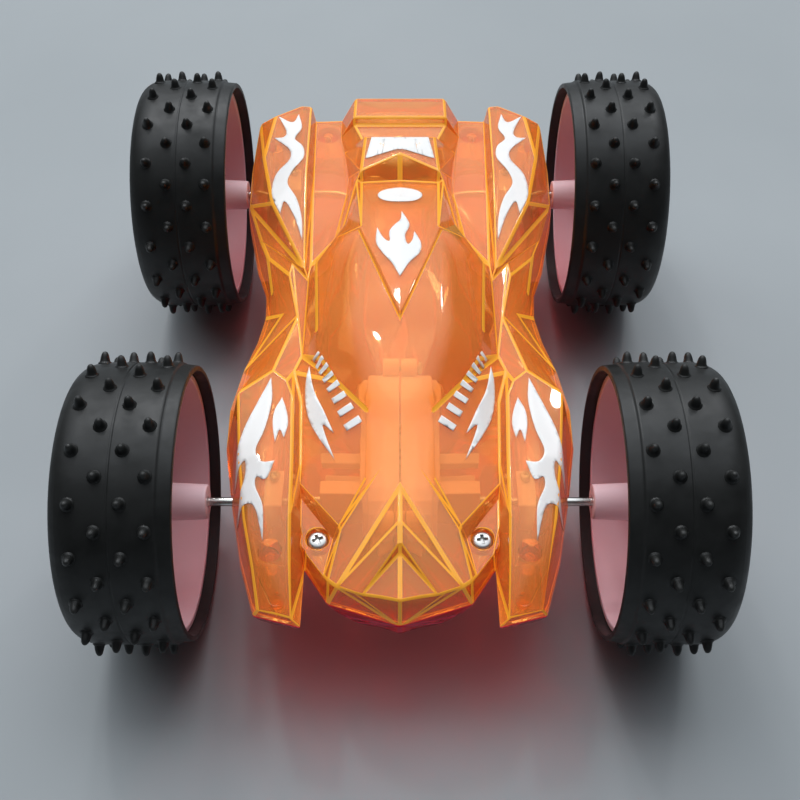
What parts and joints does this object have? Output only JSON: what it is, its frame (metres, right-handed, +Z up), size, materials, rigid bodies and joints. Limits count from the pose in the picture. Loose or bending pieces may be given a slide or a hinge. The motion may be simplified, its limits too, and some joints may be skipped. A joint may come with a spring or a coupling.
{
  "type": "friction stunt car",
  "caption": "Double-sided friction stunt car: two clear shells, flywheel gearbox, two straight axles and large spiked wheels.",
  "frame": {"origin": "on the ground under the middle of the car, half way between the axles", "axes": "+Z up, front of the car towards -Y, axles along X"},
  "size_m": [0.144, 0.176, 0.0688],
  "materials": {
    "orange_clear": "clear tinted polystyrene, polished mould",
    "magenta_clear": "clear tinted polystyrene, polished mould",
    "pink_plastic": "moulded, satin",
    "rim_plastic": "moulded, satin",
    "gear_plastic": "acetal, natural",
    "tyre_rubber": "soft moulded rubber, satin",
    "steel": "drawn rod",
    "flywheel_steel": "turned",
    "screw_steel": "nickel plated"
  },
  "bodies": {
    "chassis": {"upper_shell": "orange_clear", "lower_shell": "magenta_clear", "gearbox_left": "pink_plastic", "gearbox_right": "pink_plastic", "idler_pin": "steel", "gearbox_screw_1": "screw_steel", "gearbox_screw_2": "screw_steel", "gearbox_screw_3": "screw_steel", "gearbox_screw_4": "screw_steel", "shell_screw_front_left": "screw_steel", "front_bracket_left": "pink_plastic", "front_bracket_screw_left": "screw_steel", "shell_screw_front_right": "screw_steel", "front_bracket_right": "pink_plastic", "front_bracket_screw_right": "screw_steel", "shell_screw_rear_left": "screw_steel", "rear_bracket_left": "pink_plastic", "rear_bracket_screw_left": "screw_steel", "shell_screw_rear_right": "screw_steel", "rear_bracket_right": "pink_plastic", "rear_bracket_screw_right": "screw_steel"},
    "front_wheels": {"front_axle": "steel", "axle_gear": "gear_plastic", "rim_front_left": "rim_plastic", "rim_front_right": "rim_plastic", "tyre_front_left": "tyre_rubber", "tyre_front_right": "tyre_rubber"},
    "rear_wheels": {"rear_axle": "steel", "rim_rear_left": "rim_plastic", "rim_rear_right": "rim_plastic", "tyre_rear_left": "tyre_rubber", "tyre_rear_right": "tyre_rubber"},
    "idler": {"idler_gear": "gear_plastic"},
    "flywheel": {"flywheel_pinion": "gear_plastic", "flywheel": "flywheel_steel"}
  },
  "joints": [
    {"name": "front_axle_spin", "type": "hinge", "parent": "chassis", "child": "front_wheels", "pos_m": [0, -0.0536, 0.0344], "axis": [1, 0, 0], "continuous": true},
    {"name": "rear_axle_spin", "type": "hinge", "parent": "chassis", "child": "rear_wheels", "pos_m": [0, 0.0536, 0.0344], "axis": [1, 0, 0], "continuous": true},
    {"name": "idler_spin", "type": "hinge", "parent": "chassis", "child": "idler", "pos_m": [0, -0.044, 0.0344], "axis": [1, 0, 0], "continuous": true},
    {"name": "flywheel_spin", "type": "hinge", "parent": "chassis", "child": "flywheel", "pos_m": [0, -0.0344, 0.0344], "axis": [1, 0, 0], "continuous": true}
  ],
  "couplings": [
    {"joint": "idler_spin", "follows": "front_axle_spin", "ratio": -3},
    {"joint": "flywheel_spin", "follows": "front_axle_spin", "ratio": 9}
  ]
}
